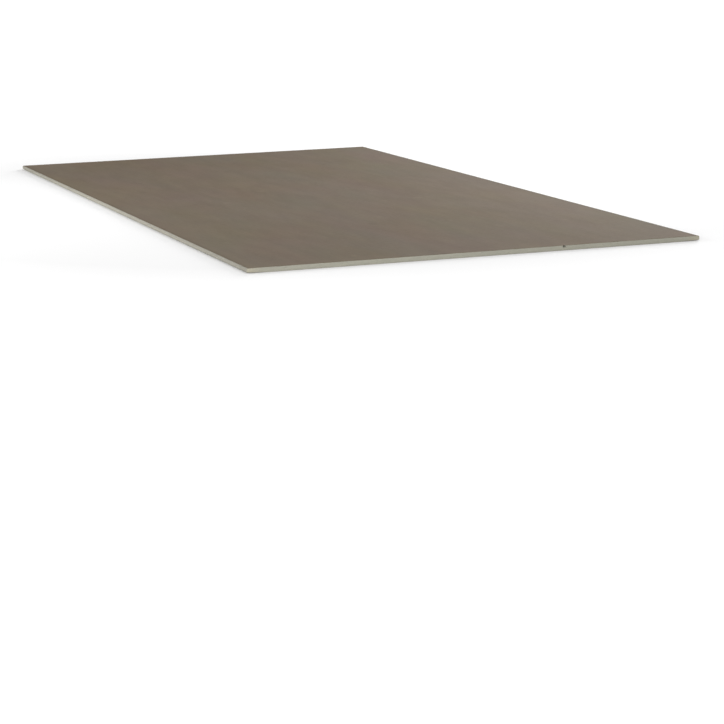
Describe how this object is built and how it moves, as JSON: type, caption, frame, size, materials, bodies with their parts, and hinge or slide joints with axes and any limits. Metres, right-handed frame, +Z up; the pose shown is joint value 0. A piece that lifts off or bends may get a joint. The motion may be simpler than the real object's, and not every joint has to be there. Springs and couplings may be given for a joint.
{
  "type": "drywall sheet",
  "caption": "Full-size gypsum wall board, lying face down: plaster core, pale face paper folded round the tapered long edges, brown back paper, cut ends bare.",
  "frame": {"origin": "middle of the sheet, in the plane of the face that it rests on", "axes": "+X across the width, +Y along the length, +Z up through the thickness, from the face to the back"},
  "size_m": [1.2, 2.5, 0.0125],
  "materials": {
    "gypsum_core": "matte",
    "face_paper": "matte",
    "back_paper": "matte"
  },
  "bodies": {
    "root": {"gypsum_core": "gypsum_core", "face_paper": "face_paper", "back_paper": "back_paper"}
  },
  "joints": []
}
